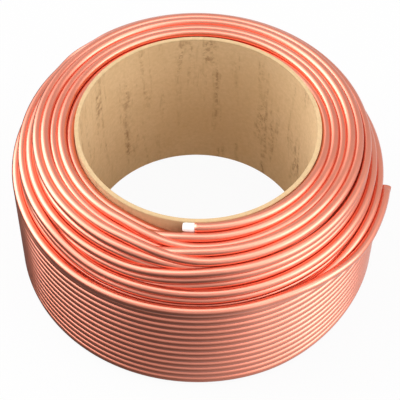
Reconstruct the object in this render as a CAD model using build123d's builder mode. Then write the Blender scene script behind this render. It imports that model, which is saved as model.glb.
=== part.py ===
from build123d import *
import math
import os

os.makedirs("parts", exist_ok=True)

# Coil of soft copper tube, level wound in nested layers on a cardboard core.
# The axis is +Z, the coil stands on Z = 0, and -Y is the near side.

# Driving sizes, mm
tube_diameter = 9.52
tube_wall = 0.7
core_bore_diameter = 238.0
core_wall = 4.5
rim_stand = 2.0

# Winding: the full layers, then the outer layers, which each stop lower than the one inside them
full_layers = 5
full_layer_turns = 19
outer_layer_turns = (18, 17, 14)

# Clearances and laps
core_clearance = 0.2
plug_clearance = 0.15
turn_lap = 0.3

# A free stretch's section has eight sides; the groove between turns is part filled, as a share of the radius
turn_sides = 8
groove_fill = 0.3

# Inner end of the tube, closed by a plug
inner_end_angle = -91.0
plug_cap_length = 11.5
plug_stem_length = 10.0
plug_cap_inset = 0.3
plug_tip_chamfer = 0.8

# Outer end of the tube, which comes out of the outer layer, lies against it and is crimped
outer_end_angle = -11.0
outer_stretch_arc = 80.0
outer_start_sink = 3.0
crimp_width = 11.0
crimp_thickness = 5.0
crimp_corner = 1.2
crimp_neck_length = 4.0
crimp_length = 4.0

# Worked-out sizes
tube_radius = tube_diameter / 2
tube_bore_radius = tube_radius - tube_wall
crown_half_width = tube_radius * math.tan(math.pi / turn_sides)
layer_pitch = tube_diameter * math.sin(math.radians(60))
core_outer_radius = core_bore_diameter / 2 + core_wall
coil_bore_radius = core_outer_radius + core_clearance
first_layer_radius = core_outer_radius + tube_radius
core_height = (full_layer_turns + 0.5) * tube_diameter + rim_stand
layer_turns = (full_layer_turns,) * full_layers + outer_layer_turns
layers = len(layer_turns)


def turn_centre(layer, turn):
    # Centre of a turn in the section: every second layer sits half a turn up
    lift = layer % 2 * tube_radius
    return Vector(first_layer_radius + layer * layer_pitch, tube_radius + lift + turn * tube_diameter)


def top_centre(layer):
    return turn_centre(layer, layer_turns[layer] - 1)


def end_crowns():
    # Turns seen from below, as centre, outward direction and whether the crown is flat
    return [(turn_centre(layer, 0), Vector(0, -1), layer % 2 == 0) for layer in range(layers)]


def side_crowns(layer):
    # Turns of a layer seen from the side, above the layer outside it
    centres = [turn_centre(layer, n) for n in range(layer_turns[layer])]
    if layer < layers - 1:
        centres = [centre for centre in centres if centre.Y > top_centre(layer + 1).Y]
    if len(centres) < 2:
        return []
    return [(centre, Vector(1, 0), layer == layers - 1) for centre in centres]


def coil_section():
    # Closed outline of the winding: a flat crown on each proud turn, a groove between turns
    crowns = end_crowns()
    for layer in reversed(range(layers)):
        crowns += side_crowns(layer)
        crowns += [(top_centre(layer), Vector(0, 1), layer % 2 == 1)]
    points = [Vector(coil_bore_radius, crowns[0][0].Y - tube_radius)]
    before = crowns[0][0]
    for centre, normal, flat in crowns:
        step = centre - before
        if step.length > 0:
            square = Vector(step.Y, -step.X).normalized()
            points.append((centre + before) * 0.5 + square * (groove_fill * tube_radius))
        crown = centre + normal * tube_radius
        half = Vector(-normal.Y, normal.X) * crown_half_width
        points += [crown - half, crown + half] if flat else [crown]
        before = centre
    points.append(Vector(coil_bore_radius, points[-1].Y))
    return [(point.X, point.Y) for point in points]


def turn_outline():
    # Section of a free stretch, flat sided like the turns beside it
    return RegularPolygon(tube_radius, turn_sides, major_radius=False, rotation=180 / turn_sides)


def crimp_outline():
    # The same eight corners pressed flat, in the order of the round section's corners
    out, up = crimp_width / 2, crimp_thickness / 2
    quarter = [(out, up - crimp_corner), (out - crimp_corner, up)]
    points = quarter + [(-x, y) for x, y in reversed(quarter)]
    return points + [(-x, -y) for x, y in points]


def arc_frame(centre, angle, tilt):
    # Section plane and axis of a turn that starts at an angle, tilted to rise towards it
    turn, lean = math.radians(angle), math.radians(tilt)
    flat = Vector(math.cos(turn), math.sin(turn), 0)
    outward = flat * math.cos(lean) + Vector(0, 0, math.sin(lean))
    upward = Vector(0, 0, math.cos(lean)) - flat * math.sin(lean)
    return Plane(origin=centre, x_dir=outward, z_dir=outward.cross(upward)), Axis(centre, upward)


# The inner end rides one turn above the first layer and sinks into it in half a circle
inner_low = top_centre(0).Y - turn_lap
inner_centre = Vector(0, 0, inner_low + tube_radius)
inner_tilt = math.degrees(math.asin(tube_radius / first_layer_radius))
inner_plane, inner_axis = arc_frame(inner_centre, inner_end_angle, inner_tilt)
inner_end = Plane(
    origin=inner_centre + inner_plane.x_dir * first_layer_radius,
    x_dir=inner_plane.x_dir,
    z_dir=-inner_plane.z_dir,
)

# The outer end leaves the outer layer along a wider circle set off the coil's axis, in the groove below the top turn
outer_top = top_centre(layers - 1)
outer_spread = outer_start_sink + layer_pitch
outer_offset = outer_spread / (1 - math.cos(math.radians(outer_stretch_arc)))
outer_arc_radius = outer_top.X - outer_start_sink + outer_offset
outer_start_angle = outer_end_angle - outer_stretch_arc
outer_start_out = Vector(1, 0, 0).rotate(Axis.Z, outer_start_angle)
outer_centre = Vector(0, 0, outer_top.Y - tube_radius) - outer_start_out * outer_offset
outer_plane, outer_axis = arc_frame(outer_centre, outer_start_angle, 0)
outer_end_out = Vector(1, 0, 0).rotate(Axis.Z, outer_end_angle)
outer_end = Plane(
    origin=outer_centre + outer_end_out * outer_arc_radius,
    x_dir=outer_end_out,
    z_dir=Vector(0, 0, 1).cross(outer_end_out),
)

with BuildPart() as copper_tube:
    # Turned winding
    with BuildSketch(Plane.XZ):
        with BuildLine():
            Polyline(*coil_section(), close=True)
        make_face()
    revolve(axis=Axis.Z)
    # Inner stretch, and its mouth that takes the plug
    with BuildSketch(inner_plane):
        with Locations((first_layer_radius, 0)):
            turn_outline()
    revolve(axis=inner_axis, revolution_arc=180)
    with Locations(inner_end):
        Cylinder(
            tube_bore_radius,
            plug_stem_length + tube_wall,
            align=(Align.CENTER, Align.CENTER, Align.MIN),
            mode=Mode.SUBTRACT,
        )
    # Outer stretch and its crimped end
    with BuildSketch(outer_plane):
        with Locations((outer_arc_radius, 0)):
            turn_outline()
    revolve(axis=outer_axis, revolution_arc=outer_stretch_arc)
    with BuildSketch(outer_end):
        turn_outline()
    with BuildSketch(outer_end.offset(crimp_neck_length)) as crimp:
        with BuildLine():
            Polyline(*crimp_outline(), close=True)
        make_face()
    loft(ruled=True)
    extrude(crimp.sketch, amount=crimp_length)
    # The bore clears the core over the free end too
    Cylinder(coil_bore_radius, core_height * 3, mode=Mode.SUBTRACT)
copper_tube.part.label = "copper_tube"
export_step(copper_tube.part, "parts/copper_tube.step")

# Plug: a cap against the tube's cut end, with a stem in its mouth
with BuildPart() as end_plug:
    with Locations(inner_end):
        Cylinder(
            tube_radius - plug_cap_inset,
            plug_cap_length,
            align=(Align.CENTER, Align.CENTER, Align.MAX),
        )
    tip = end_plug.faces().sort_by(Axis(inner_end.origin, inner_end.z_dir))[0]
    chamfer(tip.edges(), plug_tip_chamfer)
    with Locations(inner_end):
        Cylinder(
            tube_bore_radius - plug_clearance,
            plug_stem_length,
            align=(Align.CENTER, Align.CENTER, Align.MIN),
        )
end_plug.part.label = "end_plug"
export_step(end_plug.part, "parts/end_plug.step")

# Cardboard core: an open tube
with BuildPart() as cardboard_core:
    with BuildSketch():
        Circle(core_outer_radius)
        Circle(core_bore_diameter / 2, mode=Mode.SUBTRACT)
    extrude(amount=core_height)
cardboard_core.part.label = "cardboard_core"
export_step(cardboard_core.part, "parts/cardboard_core.step")

wound = sum(2 * math.pi * turn_centre(layer, 0).X * layer_turns[layer] for layer in range(layers))
print("coil radius", outer_top.X + tube_radius, "core height", core_height, "wound tube m", wound / 1000)
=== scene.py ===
import math

import bpy
import numpy as np
from mathutils import Matrix, Vector


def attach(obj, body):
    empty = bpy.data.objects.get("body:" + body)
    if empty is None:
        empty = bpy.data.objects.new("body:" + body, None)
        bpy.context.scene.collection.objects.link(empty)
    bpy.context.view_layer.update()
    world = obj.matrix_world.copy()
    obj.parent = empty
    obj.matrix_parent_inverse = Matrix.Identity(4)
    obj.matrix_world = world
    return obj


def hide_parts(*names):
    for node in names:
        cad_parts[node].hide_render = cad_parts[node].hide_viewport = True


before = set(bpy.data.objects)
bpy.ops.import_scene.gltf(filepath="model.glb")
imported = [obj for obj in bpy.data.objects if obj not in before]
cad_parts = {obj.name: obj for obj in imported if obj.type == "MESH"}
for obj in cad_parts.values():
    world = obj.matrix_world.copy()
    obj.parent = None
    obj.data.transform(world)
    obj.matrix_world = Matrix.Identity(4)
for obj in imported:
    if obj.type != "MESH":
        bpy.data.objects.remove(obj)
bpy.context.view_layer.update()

MM = 0.001
LAP = 360
TAU = 2 * math.pi

# Sizes in mm, the same as in the part's source
TUBE_D = 9.52
TUBE_R = TUBE_D / 2
TURN_LAP = 0.3  # how deep the tilted inner turn lies in the one below
CORE_IN = 119.0
CORE_OUT = CORE_IN + 4.5
TURNS = (19, 19, 19, 19, 19, 18, 17, 14)  # in each layer, from the inside out
CORE_H = (TURNS[0] + 0.5) * TUBE_D + 2
LAYER_PITCH = TUBE_D * math.sin(math.radians(60))
LAYER_R = [CORE_OUT + TUBE_R + i * LAYER_PITCH for i in range(len(TURNS))]
OUTER = len(TURNS) - 1

# Places round the coil in degrees. The camera is at -90 and the right of the picture at 0
INNER_END = -91
NEAR_CROSSINGS = (-109, -107, -107, -102, -102, -98)  # of the first six layers
CROSS_HALF = 17  # half the arc in which a turn steps over
LEFT_CROSSING = 133
SHARP_CROSS_HALF = 9
SHOULDER_DEEP = 5  # turns of the sixth and seventh layers that are followed down
OUTER_CLIMB = -45
OUTER_CLIMB_HALF = 25
OUTER_STEP_OUT = -390
OUTER_END = -11

RUN_ON = 120  # how far a line goes on out of sight at each end
CLEARANCE = 60  # the least arc between a layer's last crossing and the way over or down

SIDES = 16
STEP = 1.25  # degrees a segment
SWAY = 0.25  # how far the tube wanders from its line, in mm
OUTER_SWAY = 0.22
OUTER_SWAY_UP = 0.12
STAND_OFF = 2.2  # of the outer layer's last turn, in mm


# The line of the tube
def smooth(t):
    """From 0 to 1 with a soft start and end, and held on both sides."""
    t = np.clip(t, 0, 1)
    return t * t * (3 - 2 * t)


def wander(theta, seed, amount):
    """A slow small wave round the coil, the same each time."""
    draw = np.random.RandomState(seed)
    total = np.zeros_like(theta)
    for k in range(2, 8):
        total += draw.uniform(-1, 1) * np.sin(k * np.radians(theta) + draw.uniform(0, TAU)) / k ** 0.6
    return amount * total


def polar(theta, r, z):
    t = np.radians(theta)
    return np.stack([r * np.cos(t), r * np.sin(t), z + 0 * t], axis=1)


def angles(first, last):
    return np.linspace(first, last, int(round((last - first) / STEP)) + 1)


def height(layer, turn):
    """The height of a turn's centre. Every other layer lies half a tube higher."""
    return TUBE_R + layer % 2 * TUBE_R + turn * TUBE_D


def well_past(angle, crossing):
    """The angle, on the first lap that puts it well past a crossing."""
    while angle < crossing + CLEARANCE:
        angle += LAP
    return angle


def inner_line():
    """The tube's inner end, which comes down into the first layer in half a circle, and the turns below."""
    t = angles(INNER_END, 2 * LAP + 100)
    down = np.radians(np.minimum(t - INNER_END, 180))
    z = height(0, TURNS[0] - 1) - TURN_LAP + TUBE_R + TUBE_R * np.cos(down)
    z += TURN_LAP * smooth((t - INNER_END - 180) / 60)
    for lap in (1, 2):
        z -= TUBE_D * smooth((t - (NEAR_CROSSINGS[0] + LAP * lap - CROSS_HALF)) / (2 * CROSS_HALF))
    return polar(t, LAYER_R[0], z)


def pair_line(up_layer, deep, over_at, down_at, seed, over_half=CROSS_HALF, lift=0.0, kink=0.0):
    """Two layers that join at the top: up the last turns of one, over, and down those of the next. deep
    says how many turns. The tube bulges outwards by the kink at the crossing, and past it rides proud by
    the lift."""
    down_layer = up_layer + 1
    up_at = NEAR_CROSSINGS[up_layer]
    here = (up_layer, TURNS[up_layer] - 1 - deep)
    moves = [(up_at + LAP * k, CROSS_HALF, (up_layer, here[1] + 1 + k)) for k in range(deep)]
    over = well_past(over_at, moves[-1][0])
    down = well_past(down_at, over)
    top = TURNS[down_layer] - 1
    moves.append((over, over_half, (down_layer, top)))
    moves += [(down + LAP * k, CROSS_HALF, (down_layer, top - 1 - k)) for k in range(deep)]

    t = angles(up_at - RUN_ON, moves[-1][0] + RUN_ON)
    r = np.full_like(t, LAYER_R[up_layer])
    z = np.full_like(t, height(*here))
    for at, half, there in moves:
        done = smooth((t - at + half) / (2 * half))
        r += done * (LAYER_R[there[0]] - LAYER_R[here[0]])
        z += done * (height(*there) - height(*here))
        here = there
    # the lift grows over 50 degrees and is gone just before the way down
    z += lift * smooth((t - over - 20) / 50) * smooth((down - 12 - t) / 30)
    r += kink * smooth(1 - np.abs(t - over - 5) / SHARP_CROSS_HALF)
    return polar(t, r + wander(t, seed, SWAY), z + wander(t, seed + 500, SWAY / 2))


def outer_line():
    """The lowest turn of the layer inside steps out and climbs turn by turn as the outer layer. Its last
    turn stands off a little, rolls outwards off the lap that rises under it, and ends."""
    inside = OUTER - 1
    laps = TURNS[OUTER] - 1
    t = angles(OUTER_STEP_OUT - LAP, OUTER_END + LAP * laps)
    out = smooth((t - OUTER_STEP_OUT) / 30)
    r = LAYER_R[inside] + (LAYER_R[OUTER] - LAYER_R[inside]) * out + wander(t, 40, OUTER_SWAY)
    z = height(inside, 0) + (height(OUTER, 0) - height(inside, 0)) * out
    # it lies flat on the floor before it begins to wander
    z += wander(t, 41, OUTER_SWAY_UP) * smooth((t - 60) / 120)
    # its start is hidden one turn up, behind the outer layer, and comes down over 40 degrees
    z += TUBE_D * (1 - smooth((t - OUTER_STEP_OUT + 340) / 40))
    climb_from = OUTER_CLIMB - OUTER_CLIMB_HALF
    for lap in range(laps):
        z += TUBE_D * smooth((t - (climb_from + LAP * lap)) / (2 * OUTER_CLIMB_HALF))
    roll = smooth((t - (climb_from + LAP * laps)) / (2 * OUTER_CLIMB_HALF))
    around = math.radians(120) * roll
    r += STAND_OFF * smooth((t - (LAP * (laps - 1) + 200)) / 40) * (1 - smooth(2 * roll))
    r += TUBE_D * np.sin(around)
    z += TUBE_D * (roll + np.cos(around) - 1)
    return polar(t, r, z)


# Meshes
class Mesh:
    """The vertices, in mm, and faces of one piece."""

    def __init__(self):
        self.verts, self.faces, self.count = [], [], 0

    def add(self, verts, faces):
        self.verts.append(verts)
        self.faces += [tuple(i + self.count for i in face) for face in faces]
        self.count += len(verts)

    def tube(self, points, closed=False, sides=SIDES, halves=None):
        """A tube along the points. halves gives half its width and half its height at each point."""
        n = len(points)
        ahead = np.roll(points, -1, 0) - np.roll(points, 1, 0) if closed else np.gradient(points, axis=0)
        ahead /= np.linalg.norm(ahead, axis=1)[:, None]
        across = np.cross(ahead, (0, 0, 1.0))
        across /= np.linalg.norm(across, axis=1)[:, None]
        up = np.cross(across, ahead)
        wide, high = halves if halves else (np.full(n, TUBE_R),) * 2
        a = np.arange(sides) * TAU / sides
        ring = (points[:, None, :]
                + np.cos(a)[None, :, None] * across[:, None, :] * wide[:, None, None]
                + np.sin(a)[None, :, None] * up[:, None, :] * high[:, None, None])
        faces = []
        for i in range(n if closed else n - 1):
            j = (i + 1) % n
            for k in range(sides):
                m = (k + 1) % sides
                faces.append((i * sides + k, j * sides + k, j * sides + m, i * sides + m))
        if not closed:
            faces.append(tuple(range(sides)))
            faces.append(tuple((n - 1) * sides + k for k in reversed(range(sides))))
        self.add(ring.reshape(-1, 3), faces)

    def make(self, name, material, nodes=(), sharp_from=None):
        """Puts the piece in the scene. Edges sharper than sharp_from, in degrees, stay crisp."""
        mesh = bpy.data.meshes.new(name)
        mesh.from_pydata((np.concatenate(self.verts) * MM).tolist(), [], self.faces)
        mesh.validate()
        mesh.shade_smooth()
        if sharp_from:
            mesh.set_sharp_from_angle(angle=math.radians(sharp_from))
        mesh.materials.append(material)
        piece = bpy.data.objects.new(name, mesh)
        bpy.context.scene.collection.objects.link(piece)
        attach(piece, "root")
        if nodes:
            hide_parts(*nodes)


def make_top_turns(copper):
    """The inner end and the turns that show on top of the first five layers."""
    mesh = Mesh()
    mesh.tube(inner_line())
    mesh.tube(pair_line(1, 2, NEAR_CROSSINGS[2], NEAR_CROSSINGS[2], 10, lift=2.6))
    mesh.tube(pair_line(3, 3, NEAR_CROSSINGS[4], NEAR_CROSSINGS[4], 20, lift=2.6))
    mesh.make("tube_top_turns", copper, nodes=("copper_tube",))


def make_shoulder_turns(copper):
    """The sixth and seventh layers, which show as the stepped shoulder."""
    mesh = Mesh()
    mesh.tube(pair_line(5, SHOULDER_DEEP, LEFT_CROSSING, LEFT_CROSSING + 92, 30,
                        over_half=SHARP_CROSS_HALF, kink=2.4))
    mesh.make("tube_shoulder_turns", copper)


def make_side_turns(copper):
    """The outer layer, and the crimp that closes the outer end of the tube."""
    line = outer_line()
    # how far past the round tube, then half the crimp's width and height there
    crimp = ((1.0, 4.8, 4.5), (2.0, 4.9, 3.9), (3.0, 5.0, 3.1), (4.0, 5.1, 2.5), (5.0, 5.1, 2.5),
             (6.5, 5.1, 2.5), (7.6, 5.1, 2.5), (8.0, 4.9, 2.3))
    past, crimp_wide, crimp_high = np.array(crimp).T
    ahead = line[-1] - line[-2]
    ahead /= np.linalg.norm(ahead)
    plain = np.full(len(line), TUBE_R)
    mesh = Mesh()
    mesh.tube(np.concatenate([line, line[-1] + ahead * past[:, None]]),
              halves=(np.concatenate([plain, crimp_wide]), np.concatenate([plain, crimp_high])))
    mesh.make("tube_side_turns", copper, sharp_from=60)


def make_under_turns(copper):
    """The lowest turns of the layers inside, and plainer ones behind the outer layer."""
    mesh = Mesh()
    once_round = angles(-180, 180 - STEP)
    inside = OUTER - 1
    for layer in range(inside):
        for turn in range(1 + layer % 2):
            mesh.tube(polar(once_round, LAYER_R[layer], height(layer, turn)), closed=True)
    for turn in range(1, TURNS[inside] - 1 - SHOULDER_DEEP):
        mesh.tube(polar(once_round[::2], LAYER_R[inside], height(inside, turn)), closed=True, sides=8)
    mesh.make("tube_under_turns", copper)


def make_plug(plastic):
    """The cap of the plug, on the line of the tube's inner end."""
    # degrees from the end of the tube, and the cap's radius there
    cap = ((-5.05, 3.3), (-4.75, 3.9), (-4.3, 4.3), (-3.5, 4.46), (-2.0, 4.46), (-0.1, 4.46), (0.0, 4.3))
    on, radius = np.array(cap).T
    mesh = Mesh()
    mesh.tube(polar(INNER_END + on, LAYER_R[0], height(0, TURNS[0] - 1) - TURN_LAP + TUBE_D),
              halves=(radius, radius))
    mesh.make("plug_piece", plastic, nodes=("end_plug",), sharp_from=50)


def make_core(cardboard):
    """The board tube, with its top edges a little worn."""
    worn = 0.6
    profile = ((CORE_IN, 0), (CORE_IN, CORE_H - worn), (CORE_IN + worn, CORE_H),
               (CORE_OUT - worn, CORE_H), (CORE_OUT, CORE_H - worn), (CORE_OUT, 0))
    t = np.arange(0, 360, 1.0)
    n = len(t)
    faces = []
    for j in range(len(profile)):
        here, there = j * n, (j + 1) % len(profile) * n
        faces += [(here + i, here + (i + 1) % n, there + (i + 1) % n, there + i) for i in range(n)]
    mesh = Mesh()
    mesh.add(np.concatenate([polar(t, r, z) for r, z in profile]), faces)
    mesh.make("core_piece", cardboard, nodes=("cardboard_core",), sharp_from=40)


# Shader nodes
def new_material(name):
    """A material, its node tree and its Principled shader."""
    made = bpy.data.materials.new(name)
    made.use_nodes = True
    return made, made.node_tree, made.node_tree.nodes["Principled BSDF"]


def feed(tree, socket, value):
    """Links another node's output to the socket, or sets it to a number or a colour."""
    if isinstance(value, bpy.types.NodeSocket):
        tree.links.new(value, socket)
    else:
        socket.default_value = (*value, 1) if isinstance(value, tuple) else value


def object_place(tree):
    return tree.nodes.new("ShaderNodeTexCoord").outputs["Object"]


def calc(tree, operation, a, b):
    made = tree.nodes.new("ShaderNodeMath")
    made.operation = operation
    feed(tree, made.inputs[0], a)
    feed(tree, made.inputs[1], b)
    return made.outputs[0]


def dot(tree, vector, direction):
    made = tree.nodes.new("ShaderNodeVectorMath")
    made.operation = "DOT_PRODUCT"
    made.inputs[1].default_value = direction
    tree.links.new(vector, made.inputs[0])
    return made.outputs["Value"]


def ramp(tree, value, low, high):
    """Turns a number into a colour between two stops, each a position and a colour or grey."""
    made = tree.nodes.new("ShaderNodeValToRGB")
    for stop, (at, colour) in zip(made.color_ramp.elements, (low, high)):
        stop.position = at
        stop.color = (*colour, 1) if isinstance(colour, tuple) else (colour, colour, colour, 1)
    tree.links.new(value, made.inputs[0])
    return made.outputs[0]


def mix(tree, share, a, b, blend="MIX"):
    made = tree.nodes.new("ShaderNodeMix")
    made.data_type = "RGBA"
    made.blend_type = blend
    for index, value in ((0, share), (6, a), (7, b)):
        feed(tree, made.inputs[index], value)
    return made.outputs[2]


def noise(tree, place, scale, detail=3.0, roughness=0.5, distortion=0.0):
    made = tree.nodes.new("ShaderNodeTexNoise")
    for name, value in (("Vector", place), ("Scale", scale), ("Detail", detail),
                        ("Roughness", roughness), ("Distortion", distortion)):
        feed(tree, made.inputs[name], value)
    return made.outputs["Fac"]


def bump(tree, bsdf, relief, strength, distance):
    made = tree.nodes.new("ShaderNodeBump")
    made.inputs["Strength"].default_value = strength
    made.inputs["Distance"].default_value = distance
    tree.links.new(relief, made.inputs["Height"])
    tree.links.new(made.outputs[0], bsdf.inputs["Normal"])


# Materials
def make_copper():
    copper, tree, bsdf = new_material("copper")
    place = object_place(tree)
    fine = noise(tree, place, 160.0, 4.0)
    tint = ramp(tree, noise(tree, place, 9.0), (0.3, (0.85, 0.22, 0.115)), (0.7, (0.91, 0.27, 0.16)))
    tree.links.new(tint, bsdf.inputs["Base Color"])
    tree.links.new(ramp(tree, fine, (0.3, 0.31), (0.7, 0.37)), bsdf.inputs["Roughness"])
    bsdf.inputs["Metallic"].default_value = 1.0
    # the pale sharp highlight on top of the red metal
    bsdf.inputs["Coat Weight"].default_value = 0.7
    bsdf.inputs["Coat Roughness"].default_value = 0.2
    bsdf.inputs["Coat IOR"].default_value = 2.2
    bump(tree, bsdf, fine, 0.02, 0.0002)
    return copper


def make_cardboard():
    cardboard, tree, bsdf = new_material("cardboard")
    place = object_place(tree)
    fibre = noise(tree, place, 260.0, 5.0, 0.6)
    base = ramp(tree, fibre, (0.25, (0.60, 0.415, 0.23)), (0.75, (0.72, 0.515, 0.30)))

    # long upright stains, broken up by a finer noise
    stretch = tree.nodes.new("ShaderNodeMapping")
    stretch.inputs["Scale"].default_value = (1.0, 1.0, 0.12)
    tree.links.new(place, stretch.inputs["Vector"])
    streaks = ramp(tree, noise(tree, stretch.outputs[0], 75.0, 4.0, 0.65, 0.3), (0.52, 0), (0.68, 1))
    flecks = ramp(tree, noise(tree, place, 150.0, 3.0, 0.7), (0.42, 0), (0.6, 1))
    base = mix(tree, calc(tree, "MULTIPLY", streaks, flecks), base, (0.33, 0.20, 0.10))

    clouds = ramp(tree, noise(tree, place, 11.0), (0.35, 0), (0.7, 0.45))
    base = mix(tree, clouds, base, (0.56, 0.37, 0.185))

    # the cut edge, darker over the top 3 mm or so, with a ragged lower border
    split = tree.nodes.new("ShaderNodeSeparateXYZ")
    tree.links.new(place, split.inputs[0])
    ragged = calc(tree, "MULTIPLY", calc(tree, "SUBTRACT", noise(tree, place, 180.0), 0.5), 0.004)
    z = calc(tree, "ADD", split.outputs["Z"], ragged)
    near_top = calc(tree, "MULTIPLY", calc(tree, "SUBTRACT", z, CORE_H * MM - 0.003), 300.0)
    edge = calc(tree, "MULTIPLY", ramp(tree, near_top, (0.2, 0), (0.9, 1)),
                ramp(tree, fibre, (0.3, 0.55), (0.6, 1)))
    base = mix(tree, edge, base, (0.50, 0.35, 0.19))

    tree.links.new(base, bsdf.inputs["Base Color"])
    bsdf.inputs["Roughness"].default_value = 0.9
    bsdf.inputs["Specular IOR Level"].default_value = 0.2
    bump(tree, bsdf, fibre, 0.25, 0.0006)
    return cardboard


def make_plastic():
    plastic, tree, bsdf = new_material("white_plastic")
    grain = noise(tree, object_place(tree), 200.0)
    tint = ramp(tree, grain, (0.3, (0.80, 0.79, 0.76)), (0.7, (0.87, 0.86, 0.83)))
    tree.links.new(tint, bsdf.inputs["Base Color"])
    bsdf.inputs["Roughness"].default_value = 0.5
    return plastic


# Stage, light and camera
def make_floor():
    """A pale floor, white to the camera apart from a soft shadow. To glossy rays it is a painted
    reflection: dark on the near left, which paints shade on the copper's near side, and pale on the right
    and behind."""
    half = 6
    corners = [(-half, -half, 0), (half, -half, 0), (half, half, 0), (-half, half, 0)]
    mesh = bpy.data.meshes.new("floor")
    mesh.from_pydata(corners, [], [(0, 1, 2, 3)])
    floor = bpy.data.objects.new("floor", mesh)
    bpy.context.scene.collection.objects.link(floor)

    material, tree, bsdf = new_material("floor")
    bsdf.inputs["Base Color"].default_value = (0.55, 0.55, 0.55, 1)
    bsdf.inputs["Roughness"].default_value = 0.8
    bsdf.inputs["Specular IOR Level"].default_value = 0.2
    rays = tree.nodes.new("ShaderNodeLightPath").outputs
    seen = calc(tree, "MULTIPLY", rays["Is Camera Ray"], 0.94)
    mirrored = calc(tree, "MAXIMUM", rays["Is Glossy Ray"], rays["Is Transmission Ray"])
    # painted reflection: the floor shows the copper a set level by place, dark on the near left to paint
    # shade on the coil's side wall, pale on the right and behind
    away = calc(tree, "ADD", dot(tree, object_place(tree), (0.90, 0.43, 0.0)), 0.5)
    level = ramp(tree, away, (0.34, 0.12), (0.56, 0.80))
    glow = tree.nodes.new("ShaderNodeEmission")
    tree.links.new(mix(tree, rays["Is Camera Ray"], level, (1.0, 1.0, 1.0)), glow.inputs["Color"])
    blend = tree.nodes.new("ShaderNodeMixShader")
    parts = (calc(tree, "MAXIMUM", seen, mirrored), bsdf.outputs[0], glow.outputs[0])
    for socket, part in zip(blend.inputs, parts):
        tree.links.new(part, socket)
    tree.links.new(blend.outputs[0], tree.nodes["Material Output"].inputs["Surface"])
    mesh.materials.append(material)


def make_world():
    """An even pale room, dark low down in front on the left, with soft glows on the left and the right."""
    world = bpy.data.worlds.new("world")
    bpy.context.scene.world = world
    world.use_nodes = True
    tree = world.node_tree
    sky = tree.nodes.new("ShaderNodeTexCoord").outputs["Generated"]

    def facing(direction, low, high):
        """A grey by how nearly the sky's direction is the given one."""
        return ramp(tree, dot(tree, sky, Vector(direction).normalized()), low, high)

    low_down = facing((0, 0, 1), (0.02, 1.0), (0.4, 0.0))
    front_left = facing((-0.66, -0.75, 0.0), (0.3, 0.0), (0.8, 1.0))
    room = mix(tree, calc(tree, "MULTIPLY", low_down, front_left), (0.68, 0.68, 0.68), (0.03, 0.03, 0.03))
    left = facing((-0.78, 0.30, 0.55), (0.72, 0.0), (0.96, 1.0))
    right = facing((0.76, -0.33, 0.56), (0.74, 0.0), (0.96, 0.9))
    left_above = facing((-0.74, -0.10, 0.67), (0.84, 0.0), (0.98, 0.7))
    glow = calc(tree, "MULTIPLY", calc(tree, "ADD", calc(tree, "ADD", left, right), left_above), 1.5)
    tree.links.new(mix(tree, 1.0, room, glow, "ADD"), tree.nodes["Background"].inputs["Color"])


def make_lamp(name, at, size, power):
    """A rectangular lamp that faces the coil."""
    data = bpy.data.lights.new(name, "AREA")
    data.shape = "RECTANGLE"
    data.size, data.size_y = size
    data.energy = power
    lamp = bpy.data.objects.new(name, data)
    lamp.location = at
    lamp.rotation_mode = "QUATERNION"
    middle = Vector((0, 0, 0.1))
    lamp.rotation_quaternion = (middle - Vector(at)).to_track_quat("-Z", "Y")
    bpy.context.scene.collection.objects.link(lamp)


def make_camera():
    """The photograph's camera: 1300 pixels of focal length on a picture 400 wide. It stands back from the
    middle of the rim and above it by so many radii of the bore, and its angles are in radians."""
    back, above = 7.26466, 8.14383
    pitch, roll, yaw = 0.90092, 0.0145, 0.00327
    data = bpy.data.cameras.new("camera")
    data.sensor_fit = "HORIZONTAL"
    data.sensor_width = 36
    data.lens = 1300 / 400 * data.sensor_width
    data.clip_start, data.clip_end = 0.05, 30
    camera = bpy.data.objects.new("camera", data)
    bpy.context.scene.collection.objects.link(camera)
    ahead = Vector((math.sin(yaw) * math.cos(pitch), math.cos(yaw) * math.cos(pitch), -math.sin(pitch)))
    level = Vector((math.cos(yaw), -math.sin(yaw), 0))
    upright = level.cross(ahead)
    right = math.cos(roll) * level + math.sin(roll) * upright
    up = -math.sin(roll) * level + math.cos(roll) * upright
    turned = Matrix((right, up, -ahead)).transposed().to_4x4()
    radius = CORE_IN * MM
    place = Matrix.Translation((0, -back * radius, above * radius + CORE_H * MM))
    camera.matrix_world = place @ turned
    bpy.context.scene.camera = camera


copper = make_copper()
make_top_turns(copper)
make_shoulder_turns(copper)
make_side_turns(copper)
make_under_turns(copper)
make_plug(make_plastic())
make_core(make_cardboard())

make_floor()
make_world()
make_lamp("left_box", (-1.5, 0.45, 0.75), (1.4, 1.4), 12)
make_lamp("right_box", (1.42, -0.56, 0.9), (1.2, 1.2), 8)
make_lamp("over_box", (0.0, -0.15, 1.5), (1.4, 0.9), 5.5)
make_camera()
bpy.context.scene.view_settings.view_transform = "Standard"
